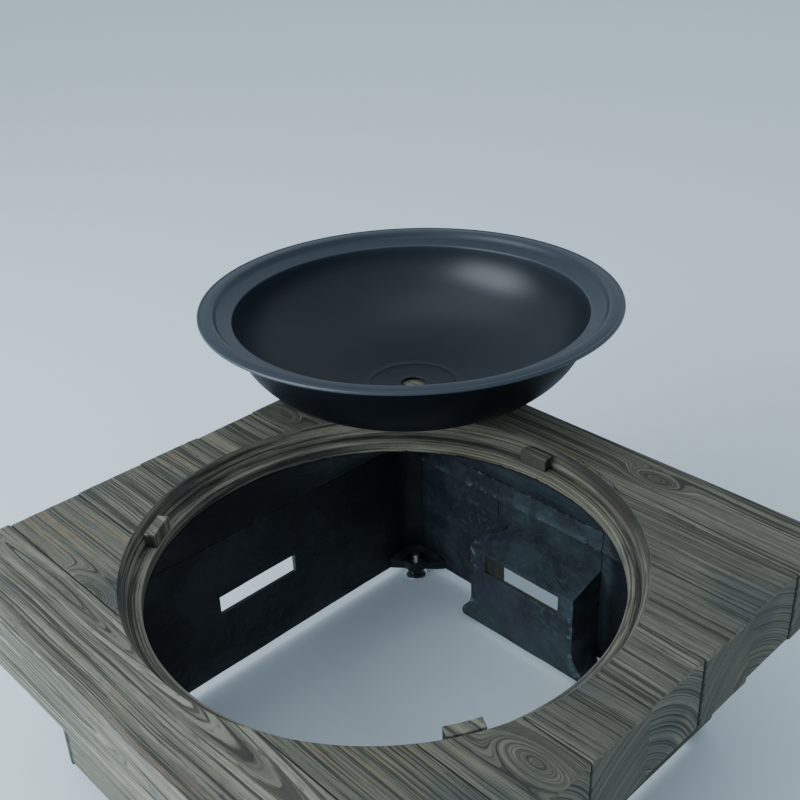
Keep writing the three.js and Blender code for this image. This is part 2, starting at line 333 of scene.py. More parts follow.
def wire_cast(t):
    place, grain, tone = t.place(), t.read("grain", "Vector"), t.read("tone")
    wear, inside = t.read("wear"), t.read("inside")
    g = place_group(t, GRAIN, {"Grain": grain})
    pits = place_group(t, PITS, {"Place": place, "Scale": 260.0})["Pits"]
    lumps = place_group(t, LUMPS, {"Place": place, "Scale": 14.0})
    blotch = t.noise(t.stretch(place, (9, 5, 9)), 1.0, 3.0, 0.55)
    # the stain: grey-brown bands, tan and reddish streaks, dark growth lines, with painted light and shade
    wood = t.mix(t.between(g["Bands"], 0.36, 0.66), STAIN_GREY, STAIN_LIGHT)
    wood = t.mix(t.math("MULTIPLY", t.between(tone, 0.2, 1.0), 0.75), wood, STAIN_GREY)
    tan = t.math("MULTIPLY", t.between(blotch, 0.50, 0.68), t.between(g["Bands"], 0.42, 0.64))
    wood = t.mix(t.math("MULTIPLY", tan, 0.65), wood, STAIN_TAN)
    red = t.noise(t.stretch(grain, (24, 2.4, 3)), 1.0, 2.0)
    wood = t.mix(t.between(red, 0.60, 0.76, 0.0, 0.55), wood, STAIN_RED)
    # painted light: the boards are made up to 55% paler towards -X and +Y, the side where the light falls
    painted_light_side = t.node("ShaderNodeVectorMath", {0: place, 1: (-1.0, 0.45, 0)},
                    operation="DOT_PRODUCT").outputs["Value"]
    painted_lit_colour = t.mix(1.0, wood, (1.5, 1.5, 1.55, 1), "MULTIPLY")
    wood = t.mix(t.between(painted_light_side, -0.05, 0.40, 0.0, 0.55), wood, painted_lit_colour)
    blue = t.noise(t.stretch(place, (7, 4, 5)), 1.3, 2.0)
    wood = t.mix(t.between(blue, 0.52, 0.70, 0.0, 0.6), wood, STAIN_BLUE)
    wood = t.mix(t.math("MULTIPLY", g["Dark lines"], 0.78), wood, DARK_STAIN_AND_SHADE)
    wood = t.mix(t.math("MULTIPLY", t.between(g["Fibres"], 0.52, 0.30), 0.45), wood, DARK_STAIN_AND_SHADE)
    wood = t.mix(t.math("MULTIPLY", g["Pores"], 0.5), wood, DARK_STAIN_AND_SHADE)
    # negative wear values darken: dark board joints, and painted shade in the ring's step, under the ring and
    # on the pads' lower sides
    wood = t.mix(t.between(wear, -0.1, -1.0, 0.0, 0.93), wood, DARK_STAIN_AND_SHADE)
    # positive wear values lighten: rubbed edges, and painted highlights on the ring's sharp edges and the
    # pads' tops
    rub = t.math("MULTIPLY", t.between(wear, 0.15, 1.0), t.between(g["Lines"], 0.30, 0.55, 0.35, 1.0))
    wood = t.mix(t.math("MULTIPLY", rub, 0.75), wood, (0.30, 0.28, 0.225, 1))
    # one crack follows the opening for a hand's breadth: a thin band of radius, made crooked by noise
    axis = t.node("ShaderNodeSeparateXYZ", {0: place}).outputs
    reach = t.node("ShaderNodeVectorMath", {0: t.stretch(place, (1, 1, 0))},
                   operation="LENGTH").outputs["Value"]
    crooked = t.math("MULTIPLY", t.math("SUBTRACT", t.noise(place, 95.0, 3.0, 0.7), 0.5), 0.009)
    off_line = t.math("ABSOLUTE", t.math("SUBTRACT", reach, t.math("ADD", crooked, 0.2885)))
    crack = t.math("MULTIPLY", t.between(off_line, 0.0011, 0.0004), t.between(axis[1], -0.036, -0.046))
    ends = t.math("MULTIPLY", t.between(axis[1], -0.130, -0.118), t.between(axis[0], 0.1, 0.2))
    crack = t.math("MULTIPLY", crack, ends)
    wood = t.mix(crack, wood, (0.004, 0.004, 0.004, 1))
    # the raw inside: near black, with teal and violet films, chalky smears, a few pits, and painted shade
    raw = t.mix(t.between(lumps["Wide"], 0.40, 0.66), RAW_DARK, RAW_TEAL)
    raw = t.mix(t.between(blotch, 0.46, 0.62, 0.0, 0.55), raw, RAW_VIOLET)
    chalk = t.math("MULTIPLY", t.between(lumps["Narrow"], 0.50, 0.70), t.between(wear, 0.0, 0.8, 0.10, 1.0))
    raw = t.mix(t.math("MULTIPLY", chalk, 0.8), raw, RAW_CHALK)
    # painted shade: negative wear values darken the raw resin under the ring, at the collar's top and in the
    # boss pockets
    raw = t.mix(t.between(wear, -0.1, -1.0, 0.0, 0.9), raw, (0.002, 0.003, 0.004, 1))
    raw = t.mix(pits, raw, (0.001, 0.0015, 0.002, 1))
    # painted shade: a low tone darkens the raw resin of walls and faces that are set in shade
    raw = t.mix(t.between(tone, 1.0, 0.1, 0.0, 0.94), raw, (0.0022, 0.0034, 0.0056, 1))
    ragged = t.math("ADD", inside, t.math("MULTIPLY", t.math("SUBTRACT", lumps["Narrow"], 0.5), 0.9))
    share = t.between(ragged, 0.42, 0.58)
    colour = t.mix(share, wood, raw)
    roughness = t.between(g["Lines"], 0.3, 0.7, 0.86, 0.70)
    raw_rough = t.between(lumps["Wide"], 0.35, 0.65, 0.66, 0.44)
    roughness = t.node("ShaderNodeMix", {0: share, 2: roughness, 3: raw_rough}).outputs[0]
    raw_height = t.math("ADD", t.math("MULTIPLY", lumps["Wide"], 1.6),
                        t.math("MULTIPLY", lumps["Narrow"], 0.55))
    raw_height = t.math("ADD", raw_height, t.math("MULTIPLY", lumps["Ridges"], 0.25))
    raw_height = t.math("SUBTRACT", raw_height, t.math("MULTIPLY", pits, 0.5))
    height = t.node("ShaderNodeMix", {0: share, 2: g["Height"], 3: raw_height}).outputs[0]
    return {"Base Color": colour, "Roughness": roughness, "Normal": t.bump(height, 0.0016, 0.8)}


cast = material("cast_boards", wire_cast, Specular_IOR_Level=0.35)

# %% [markdown]
# The bowl is spun from sheet steel and sprayed with a satin, heat-proof black. Spinning leaves very
# faint rings, and the spray a fine orange peel. The zinc of the feet is duller where it was handled.


# %% Bowl paint and zinc
def wire_paint(t):
    place = t.place()
    across = t.read("grain", "Vector")
    cloud = t.noise(place, 5.0, 3.0, 0.5)
    peel = t.noise(place, 900.0, 2.0, 0.5)
    rings = t.noise(t.stretch(across, (420, 3, 3)), 1.0, 2.0, 0.5)
    dust = t.between(t.noise(place, 60.0, 4.0, 0.7), 0.60, 0.80, 0.0, 0.25)
    colour = t.mix(t.between(cloud, 0.35, 0.65), (0.0052, 0.0080, 0.0120, 1), (0.0082, 0.0125, 0.0185, 1))
    rim = t.node("ShaderNodeVectorMath", {0: t.stretch(across, (0, 1, 1))},
                 operation="LENGTH").outputs["Value"]
    # painted reflection: the flange is made paler and bluer all round, standing in for the pale sky it
    # reflects
    flange_sheen = t.between(rim, 0.234, 0.240, 0.0, 0.6)
    colour = t.mix(flange_sheen, colour, (0.018, 0.029, 0.042, 1))
    # painted highlights: thin pale bluish lines on the bowl's crests, at the inner edge, the step's crest and
    # the lip
    colour = t.mix(t.between(t.read("wear"), 0.2, 1.0, 0.0, 0.55), colour, (0.055, 0.068, 0.082, 1))
    colour = t.mix(dust, colour, (0.03, 0.035, 0.04, 1))
    # painted shade: the underside is painted near black, as shade under the bowl; it is also made duller and
    # less shiny
    below = t.read("inside")
    colour = t.mix(t.math("MULTIPLY", below, 0.8), colour, (0.0012, 0.0016, 0.0026, 1))
    roughness = t.math("ADD", t.between(cloud, 0.3, 0.7, 0.36, 0.43), t.math("MULTIPLY", dust, 0.3))
    roughness = t.math("ADD", roughness, t.math("MULTIPLY", below, 0.12))
    height = t.math("ADD", t.math("MULTIPLY", peel, 0.25), t.math("MULTIPLY", rings, 0.75))
    return {"Base Color": colour, "Roughness": roughness, "Normal": t.bump(height, 0.00012, 0.5),
            "Specular IOR Level": t.between(below, 0.0, 1.0, 0.5, 0.14)}


def wire_zinc(t):
    place = t.place()
    cloud = t.noise(place, 130.0, 4.0, 0.65)
    scratch = t.noise(t.stretch(place, (1, 1, 6)), 700.0, 2.0, 0.6)
    grime = t.between(t.math("ADD", cloud, t.math("MULTIPLY", t.read("wear"), -0.35)), 0.55, 0.8)
    colour = t.mix(t.between(cloud, 0.35, 0.65), (0.50, 0.52, 0.55, 1), (0.70, 0.71, 0.72, 1))
    colour = t.mix(grime, colour, (0.11, 0.10, 0.09, 1))
    roughness = t.math("ADD", t.between(scratch, 0.3, 0.7, 0.20, 0.34), t.math("MULTIPLY", grime, 0.3))
    return {"Base Color": colour, "Roughness": roughness, "Normal": t.bump(scratch, 0.00006, 0.5)}


def wire_black(t):
    place = t.place()
    cloud = t.noise(place, 160.0, 4.0, 0.65)
    rub = t.math("MULTIPLY", t.between(t.read("wear"), 0.3, 1.0), t.between(cloud, 0.4, 0.6))
    colour = t.mix(t.between(cloud, 0.35, 0.65), (0.010, 0.010, 0.011, 1), (0.022, 0.022, 0.024, 1))
    colour = t.mix(rub, colour, (0.16, 0.16, 0.17, 1))
    return {"Base Color": colour, "Roughness": t.between(cloud, 0.3, 0.7, 0.30, 0.46),
            "Normal": t.bump(cloud, 0.00008, 0.5)}


paint = material("satin_black_paint", wire_paint)
zinc = material("zinc_plate", wire_zinc, Metallic=1.0)
black = material("black_oxide", wire_black, Metallic=0.7)

# %% [markdown]
# ## The board top
# The top is a plate with eight cast boards, a stepped ring hanging in its round hole, and a deep
# edge all round. It is made of one closed surface: columns of points run from the hole to the edge,
# the ring and the edge hang from the first and the last points, and a lower grid closes it.

# %% Sizes of the top, from the engineering model
MM = 0.001
slab_low, slab_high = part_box("top_slab")
TOP, HALF, SOFFIT = slab_high.z, slab_high.x, slab_low.z
BOARDS = 8
BOARD = 2 * HALF / BOARDS
SETBACK = np.array([0, 3, 1, 0, 2, 0, 3, 1]) * MM      # how far each board's ends stand back
HOLE, RING_FOOT, RING_IN, RING_OUT = 0.2857, 0.278, 0.2638, 0.294
LEDGE, RING_LOW, PLATE, SKIN = 0.0247, 0.041, 0.012, 0.011
ROOM_X, ROOM_Y, WALL = 0.288, 0.251, 0.006
print(f"top {2 * HALF:.3f} square at {TOP:.3f}, {BOARDS} boards of {BOARD * 1000:.1f} mm")

# %% [markdown]
# The growth lines of a sawn board are slices through cones: long ellipses. Their distance from the
# board's own centre is the grain coordinate. A knot adds its own rings and pushes the lines aside.

# %% Growth lines of each board
PITH_X = np.array([22, 88, -82, 90, -84, 86, -80, 52]) * MM
PITH_Y = np.array([0.24, -0.55, 0.60, -0.50, 0.15, 0.62, -0.10, -0.46])
TAPER = np.array([0.050, 0.025, 0.020, 0.030, 0.020, 0.025, 0.030, 0.040])
TONE = np.array([0.30, 0.95, 0.62, 0.80, 0.45, 0.85, 0.70, 0.55])
KNOTS = [(0.312, -0.139, 0.009, 0.022), (-0.262, 0.170, 0.008, 0.024), (0.110, 0.318, 0.007, 0.018),
         (-0.120, -0.315, 0.010, 0.024)]


def board_of(x):
    """Which board a point is on, from 0 at -X to 7 at +X."""
    return np.clip(np.floor((x + HALF) / BOARD).astype(int), 0, BOARDS - 1)


def growth(x, y):
    """Grain coordinate: sqrt(dx^2 + (taper dy)^2), wandering along the board, bent round each knot."""
    i = board_of(x)
    centre = (i + 0.5) * BOARD - HALF + PITH_X[i]
    wander = 0.0030 * np.sin(y * 8 + 2.1 * i) + 0.0006 * np.sin(y * 37 + 4.7 * i)
    lines = np.sqrt((x - centre - wander) ** 2 + (TAPER[i] * (y - PITH_Y[i])) ** 2)
    for knot_x, knot_y, wide, long in KNOTS:
        dx, dy = x - knot_x, y - knot_y
        far = (dx / wide) ** 2 + (dy / long) ** 2
        own = wide * np.sqrt(far) * 0.8
        lines = np.where(i == board_of(np.array(knot_x)), lines + (own - lines) * np.exp(-far * 0.40), lines)
    return lines + i * 0.41


def joint_depth(x):
    """0 away from the joints between boards, rising to 1 in the middle of each V groove."""
    away = np.abs((x + HALF + BOARD / 2) % BOARD - BOARD / 2)
    away = np.where(np.abs(x) > HALF - BOARD / 2, 1.0, away)
    return np.clip(1 - away / (1.5 * MM), 0, 1)


def knot_swell(x, y):
    """A low dome over each knot, with a sunk ring round it."""
    swell = np.zeros(np.broadcast(x, y).shape)
    for knot_x, knot_y, wide, long in KNOTS:
        far = ((x - knot_x) / wide) ** 2 + ((y - knot_y) / long) ** 2
        swell = swell + 0.5 * MM * (np.exp(-far * 1.5) - 0.7 * np.exp(-(far - 1.6) ** 2 * 2))
    return swell


def top_relief(x, y):
    """Height of the boards over the flat: grooves, cupping, worn grain ridges, knots."""
    i = board_of(x)
    dx = x - ((i + 0.5) * BOARD - HALF)
    tilt = np.array([0.2, -0.15, 0.1, -0.2, 0.15, 0.05, -0.2, 0.1])[i] * MM
    cup = tilt * dx / BOARD * 2 - 0.35 * MM * (2 * dx / BOARD) ** 4
    ridges = 0.16 * MM * noise(growth(x, y) / 0.0042, y / 0.11, 3)
    waves = 0.22 * MM * rough(x, y, 0.12, 5)
    groove = 2.0 * MM * joint_depth(x) * (0.85 + 0.15 * noise(x / 0.1, y / 0.03, 8))
    return cup + ridges + waves - groove + knot_swell(x, y) - 0.3 * MM


# %% Columns and rows of the top
joints = (np.arange(1, BOARDS) * BOARD - HALF)[:, None] + np.array([-1.5, -0.9, -0.3, 0, 0.3, 0.9, 1.5]) * MM
tangent = HOLE * np.cos(np.radians(np.arange(0, 20, 1.6)))
edges = HALF - np.array([0, 0.8, 2, 4.5]) * MM
even = np.linspace(-HALF + 0.007, HALF - 0.007, 268)
even = even[np.abs((even + HALF + BOARD / 2) % BOARD - BOARD / 2) > 1.9 * MM]
even = even[np.abs(np.abs(even) - HOLE) > 0.0012]
xs = np.unique(np.round(np.concatenate([joints.ravel(), tangent, -tangent, edges, -edges, even]), 6))
ROWS = 44
print(len(xs), "columns of", ROWS, "rows on each side of the hole")


def row_places(length):
    """Distances from the hole: a few close rows at each end, the rest even."""
    start, finish = np.array([0, 0.8, 2.2]) * MM, np.array([2.2, 0.8, 0]) * MM
    middle = np.linspace(0, 1, ROWS - 6 + 2)[1:-1]
    span = length[None, :] - start[-1] - finish[0]
    return np.concatenate([start[:, None] + 0 * span, start[-1] + middle[:, None] * span,
                           length[None, :] - finish[:, None]])


def half_top(side):
    """Points (rows, columns) from the hole to the board ends, on the +Y or -Y side."""
    near = np.sqrt(np.maximum(HOLE ** 2 - xs ** 2, 0))
    near[np.abs(xs) >= HOLE] = 0
    length = HALF - SETBACK[board_of(xs)] - near
    y = near + row_places(length)
    x = np.broadcast_to(xs, y.shape)
    to_end = (near + length) - y
    to_side = HALF - np.abs(x)
    to_hole = np.hypot(x, y) - HOLE
    worn = 1.4 * MM * np.clip(1 - np.minimum(to_end, to_side) / (3 * MM), 0, 1) ** 2
    worn = worn + 0.35 * MM * np.clip(1 - to_hole / (2 * MM), 0, 1) ** 2
    fade = smooth(np.minimum(to_hole, 1.0) / (4 * MM))
    z = TOP + top_relief(x, side * y) * fade - worn
    return x, side * y, z, to_hole, np.minimum(to_end, to_side)


# %% The plate with its grain
def grain_vector(x, y):
    """Across the growth lines, along the board, and a number that is new for each board."""
    i = board_of(x)
    return stack(growth(x, y), y + 0.9 * i, 3.1 * i)


top = Patches()
for side in (1, -1):
    x, y, z, to_hole, to_edge = half_top(side)
    wear = -joint_depth(x) * 1.3
    wear = wear + 0.7 * np.exp(-to_edge / (1.6 * MM)) + 0.45 * np.exp(-np.maximum(to_hole, 0) / (1.2 * MM))
    tone = TONE[board_of(x)] + 0 * y
    top.add(stack(x, y, z), grain_vector(x, y), wear=wear, tone=tone)
    # the lower grid keeps the same columns, pushed out so that it starts at the ring's outside
    radius = np.hypot(x, y)
    push = (RING_OUT - HOLE) * np.clip(1 - to_hole / 0.06, 0, 1) ** 2 / radius
    inset = (HALF - SKIN) / HALF
    low = stack(x * (1 + push) * inset ** (1 - np.clip(push * 40, 0, 1)),
                y * (1 + push) * inset ** (1 - np.clip(push * 40, 0, 1)), TOP - PLATE)
    top.add(low, grain_vector(x, y), inside=1.0)

# %% [markdown]
# The ring's section runs from the top surface down a sloping band to a sharp foot, in along the
# ledge on which the bowl's flange rests, and down its inner face. The stain stops raggedly there.

# %% Ring
RING_SECTION = np.array([
    (HOLE, 0), (HOLE - 0.3 * MM, -0.8 * MM), (HOLE - 1.0 * MM, -2 * MM), (HOLE - 2.2 * MM, -5 * MM),
    (HOLE - 3.4 * MM, -8 * MM), (HOLE - 5.0 * MM, -12 * MM), (HOLE - 6.4 * MM, -16 * MM),
    (RING_FOOT, -18.8 * MM), (RING_FOOT + 0.1 * MM, -19.6 * MM), (RING_FOOT, -23.8 * MM),
    (RING_FOOT - 0.6 * MM, -LEDGE), (0.5 * (RING_FOOT + RING_IN), -LEDGE),
    (RING_IN + 1.2 * MM, -LEDGE + 0.1 * MM),
    (RING_IN + 0.3 * MM, -LEDGE - 0.4 * MM), (RING_IN, -LEDGE - 1.4 * MM), (RING_IN, -30 * MM),
    (RING_IN, -34 * MM), (RING_IN, -38 * MM), (RING_IN + 0.4 * MM, -RING_LOW + 0.5 * MM),
    (RING_IN + 1.5 * MM, -RING_LOW), (RING_OUT - 8 * MM, -RING_LOW), (RING_OUT, -RING_LOW),
    (RING_OUT, -RING_LOW + 10 * MM), (RING_OUT, -PLATE)])
# wear round the ring section, with painted light: a lighter top edge, darker just below it, painted
# highlights on the sharp foot and on the ledge's inner edge, and painted shade in the step under the foot and
# on the faces under the ring
RING_WEAR_AND_PAINTED_LIGHT = np.array([0.4, -0.5, -0.35, -0.15, -0.1, -0.05, 0.1, 0.9, 0.3, -1.0, -1.0, 0.0, 0.55,
                      0.8, 0.25, -0.05, -0.1, -0.2, -0.6, -0.8, -1, -1, -1, -1])
RING_INSIDE = np.concatenate([np.zeros(15), [0.0, 0.1, 0.3, 0.62, 0.9], np.ones(4)])


def hole_loop():
    """The hole's edge in order: +Y side from +X to -X, then the -Y side back again."""
    inner = xs[np.abs(xs) <= HOLE]
    y = np.sqrt(np.maximum(HOLE ** 2 - inner ** 2, 0))
    return np.concatenate([inner[::-1], inner[1:-1]]), np.concatenate([y[::-1], -y[1:-1]])


loop_x, loop_y = hole_loop()
angle = np.arctan2(loop_y, loop_x)
radius, height = RING_SECTION[:, :1], RING_SECTION[:, 1:]
uneven = 0.35 * MM * noise(angle[None, :] * 8, height / 0.008 + 9, 21) * smooth(-height / (4 * MM))
uneven = uneven * smooth((height + PLATE + 26 * MM) / (4 * MM)) * (radius < RING_OUT - 5 * MM)
scale = (radius + uneven) / HOLE
ring_ripple = noise(angle[None, :] * 11, height * 0 + 3.3, 22)
ring_z = TOP + height + 0.25 * MM * ring_ripple * (radius < RING_FOOT + MM)
first_z = TOP - 0.35 * MM
ring_z[0], ring_z[-1] = first_z, TOP - PLATE
along = np.concatenate([[0], np.cumsum(np.hypot(*np.diff(RING_SECTION, axis=0).T))])[:, None]
ring_grain = stack(along * 0.9 + 7 + 0 * loop_x, loop_x * 2.2, loop_y * 2.2)
ring_wear_and_painted_light = RING_WEAR_AND_PAINTED_LIGHT[:, None] * (0.85 + 0.45 * noise(angle[None, :] * 9, along * 40, 23))
band = (np.arange(len(RING_SECTION)) < 7)[:, None]
# painted shade: the sloping band is darkened round angle -0.45 rad, on the +X side a little towards -Y, away
# from the light
ring_wear_and_painted_light = ring_wear_and_painted_light - 0.85 * band * np.exp(-((angle[None, :] + 0.45) / 0.50) ** 2)
# the low tone paints shade on the raw resin under the ring
top.add(stack(loop_x * scale, loop_y * scale, ring_z), ring_grain, wear=ring_wear_and_painted_light,
        inside=RING_INSIDE[:, None], tone=0.12, wrap_columns=True)
print("ring of", len(loop_x), "points round,", len(RING_SECTION), "down")

# %% [markdown]
# The edge is 90 mm deep. The joints of the boards run on down its front and back, where the boards'
# ends show growth rings as arcs. Its left and right sides are the long edge of one board.

# %% Edge and soffit
EDGE_Z = np.array([0, -3, -8, -16, -24, -32, -40, -48, -56, -64, -72, -80, -86, -89, -90]) * MM
EDGE_IN = np.array([0, 0.1, 0.0, 0, 0, 0, 0, 0, 0, 0, 0, 0, 0.2, 1.0, 2.6]) * MM
COLLAR_X, COLLAR_Y = ROOM_X + WALL + 0.3 * MM, RING_IN + WALL + 0.3 * MM


def edge_loop():
    """The top's outer edge in order, anticlockwise from the +X, -Y corner."""
    x, y, z = half_top(1)[:3]
    end_y, end_z = y[-1], z[-1]
    right_y, right_z = y[:, -1], z[:, -1]
    loop = [stack(x[-1][::-1], end_y[::-1], end_z[::-1]),
            stack(x[:, 0][::-1][1:], y[:, 0][::-1][1:], z[:, 0][::-1][1:])]
    x, y, z = half_top(-1)[:3]
    loop += [stack(x[:, 0][1:], y[:, 0][1:], z[:, 0][1:]), stack(x[-1][1:], y[-1][1:], z[-1][1:]),
             stack(x[:, -1][::-1][1:], y[:, -1][::-1][1:], z[:, -1][::-1][1:])]
    loop += [stack(HALF, right_y[1:-1], right_z[1:-1])]
    return np.concatenate(loop)


rim = edge_loop()
end_face = np.abs(rim[:, 1]) > HALF - 4 * MM
side_face = np.abs(rim[:, 0]) > HALF - 0.1 * MM
groove = np.where(end_face, joint_depth(rim[:, 0]), 0)[None, :]
depth = -EDGE_Z[:, None]
bend = 0.5 * MM * rough(rim[None, :, 0] + rim[None, :, 1] * 1.7, depth, 0.05, 31) + 0.3 * MM
inward = EDGE_IN[:, None] + (2.2 * MM * groove + bend) * smooth(depth / (6 * MM))
sign = np.sign(rim[None, :, :2])
edge_x = rim[None, :, 0] - sign[..., 0] * inward * side_face
edge_y = rim[None, :, 1] - sign[..., 1] * inward * end_face
edge_z = TOP + EDGE_Z[:, None] + 0 * edge_x
edge_z[0] = rim[:, 2]
inner_rows = [(COLLAR_X, COLLAR_Y, SOFFIT), (COLLAR_X, COLLAR_Y, SOFFIT + 8 * MM),
              (HALF - SKIN, HALF - SKIN, SOFFIT + 8 * MM), (HALF - SKIN, HALF - SKIN, TOP - PLATE)]
hidden = np.stack([stack(rim[:, 0] * a / HALF, rim[:, 1] * b / HALF, z) for a, b, z in inner_rows])
pith = 0.07 + 0.05 * np.sin(board_of(rim[:, 0]) * 2.4)
arcs = np.hypot(rim[None, :, 0] - (board_of(rim[:, 0]) + 0.5) * BOARD + HALF - PITH_X[board_of(rim[:, 0])],
                depth - 0.09 - pith[None, :])
plank = np.hypot(depth - 0.035 + 0.004 * np.sin(rim[None, :, 1] * 8), 0.05 * (rim[None, :, 1] - 0.2))
edge_grain = stack(np.where(side_face[None, :] & ~end_face[None, :], plank, arcs) + 5,
                   np.where(side_face[None, :], rim[None, :, 1], depth * 0.6),
                   40.0 + board_of(rim[None, :, 0]))
edge_wear = -groove * 1.2 + 0.5 * np.exp(-depth / (2 * MM)) + 0.35 * np.exp(-np.abs(depth - 0.09) / (3 * MM))
edge_tone = TONE[board_of(rim[:, 0])][None, :]
top.add(stack(edge_x, edge_y, edge_z), edge_grain, wear=edge_wear, tone=edge_tone, wrap_columns=True)
under = np.concatenate([stack(edge_x, edge_y, edge_z)[-1:], hidden])
top.add(under, under * 0.5, inside=np.array([0.3, 0.9, 1, 1, 1])[:, None], wrap_columns=True)
board_top = piece("board_top", top, "surround", ["top_slab"], cast, weld=4e-5)

# %% [markdown]
# ## The inside of the surround
# Under the ring, a collar slopes from the round opening to the rectangle of the four panels. It is
# a ruled surface: straight lines from the circle to the rectangle, one for each direction, with the
# lumps of hand-laid resin on it. A light bead of resin runs along its lower seam.

# %% Collar
COLLAR_TOP = TOP - RING_LOW - 0.3 * MM


def rectangle(angle, half_x, half_y):
    """Distance from the centre to a rectangle's side: the nearer of half_x / |cos| and half_y / |sin|."""
    across, up = np.abs(np.cos(angle)), np.abs(np.sin(angle))
    return np.minimum(half_x / np.maximum(across, 1e-9), half_y / np.maximum(up, 1e-9))


quarter = np.array([math.atan2(ROOM_Y, ROOM_X), math.atan2(RING_IN + WALL, ROOM_X + WALL)])
turn = np.unique(np.round(np.concatenate([
    np.linspace(0, 2 * np.pi, 288, endpoint=False), quarter, np.pi - quarter, np.pi + quarter,
    2 * np.pi - quarter]), 7))[None, :]
slope = np.linspace(0, 1, 14)[:, None]
room = rectangle(turn, ROOM_X, ROOM_Y)
lumps = 1.3 * MM * rough(turn * 5, slope * 0.6, 0.35, 41) * smooth(slope * 5) * smooth((1 - slope) * 5)
reach = RING_IN + (room - RING_IN) * slope + lumps
rise = COLLAR_TOP + (SOFFIT - COLLAR_TOP) * slope - 2 * MM * np.sin(slope * np.pi)
outside = rectangle(turn, ROOM_X + WALL, RING_IN + WALL)
reach = np.concatenate([reach, outside, outside])
rise = np.concatenate([rise + 0 * turn, SOFFIT + 0 * turn, COLLAR_TOP + 0 * turn])
collar_points = stack(reach * np.cos(turn), reach * np.sin(turn), rise)
# a light resin bead along the lower seam, and painted shade at the top, under the ring
collar_bead_and_shade = np.concatenate([0.75 * smooth((slope - 0.9) * 10) - 0.5 * smooth(1 - slope * 6), [[0], [0]]])
# painted light: the raw resin stays lighter towards +X, where the light falls, and is painted darker on the
# other sides
collar_painted_light = 0.12 + 0.62 * smooth(np.cos(turn) * 1.3) + 0 * rise
collar = Patches().add(collar_points, collar_points, wear=collar_bead_and_shade, inside=1.0, tone=collar_painted_light,
                       wrap_rows=True, wrap_columns=True)
piece("inner_collar", collar, "surround", ["collar"], cast)

# %% [markdown]
# A side panel is two skins with a gap of 6 mm: a lumpy inner one, and an outer one that repeats the
# board look. They are joined round their border and round the vent slot.


# %% Two skins round a hole
def skins(patches, inner, outer, grain_out, hole, wear_in, wear_out, inner_painted_shade):
    """Joins two grids of the same size round their border and round hole = (row0, row1, column0, column1)."""
    row0, row1, column0, column1 = hole
    keep = np.ones((inner.shape[0] - 1, inner.shape[1] - 1), bool)
    keep[row0:row1, column0:column1] = False
    # the inner skin's tone paints shade on its raw resin
    patches.add(inner, inner, wear=wear_in, inside=1.0, tone=inner_painted_shade, keep=keep)
    patches.add(outer, grain_out, wear=wear_out, tone=0.6, keep=keep)
    border = [np.s_[0, :], np.s_[-1, :], np.s_[:, 0], np.s_[:, -1]]
    slot = [np.s_[row0, column0:column1 + 1], np.s_[row1, column0:column1 + 1],
            np.s_[row0:row1 + 1, column0], np.s_[row0:row1 + 1, column1]]
    for lines, dark in ((border, 1.0), (slot, 0.35)):
        for line in lines:
            strip = np.stack([inner[line], outer[line]])
            patches.add(strip, strip + 3, inside=dark, wear=-0.35)
    return patches


def seam_wear(x, z, seed):
    """Chalky smears and dark hollows of hand-laid resin, as one number."""
    return 0.55 * rough(x, z, 0.07, seed) + 0.75 * np.exp(-(SOFFIT - z) / (2.2 * MM))


# %% Front and back panels
WALL_LOW, WALL_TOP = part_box("side_panel_back")[0].z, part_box("side_panel_back")[1].z
SLOT_HALF, SLOT_LOW, SLOT_TOP, SLOT_FALL = 0.062, TOP - 0.198, TOP - 0.172, 0.005
CORNER = 0.030                                        # radius of the rounded inside corners
CORNER_END = ROOM_X - 0.35 * MM


def with_lines(low, high, count, *extra):
    """Evenly spaced places from low to high, with the extra ones put in."""
    return np.unique(np.round(np.concatenate([np.linspace(low, high, count), extra]), 6))


def where(places, value):
    return int(np.abs(places - value).argmin())


def plank_grain(across, along, number):
    """Grain of a long plank whose pith lies a little outside it."""
    lines = np.hypot(across - 0.02 - 0.004 * np.sin(along * 9), 0.05 * (along - 0.15))
    return stack(lines + number, along, 3.0 * number)


def plank_groove(z):
    """1 in the middle of the cast joints between the planks of the panels' outside, every 66 mm."""
    return np.clip(1 - np.abs((z - WALL_LOW + 0.033) % 0.0666 - 0.0333) / (1.6 * MM), 0, 1)


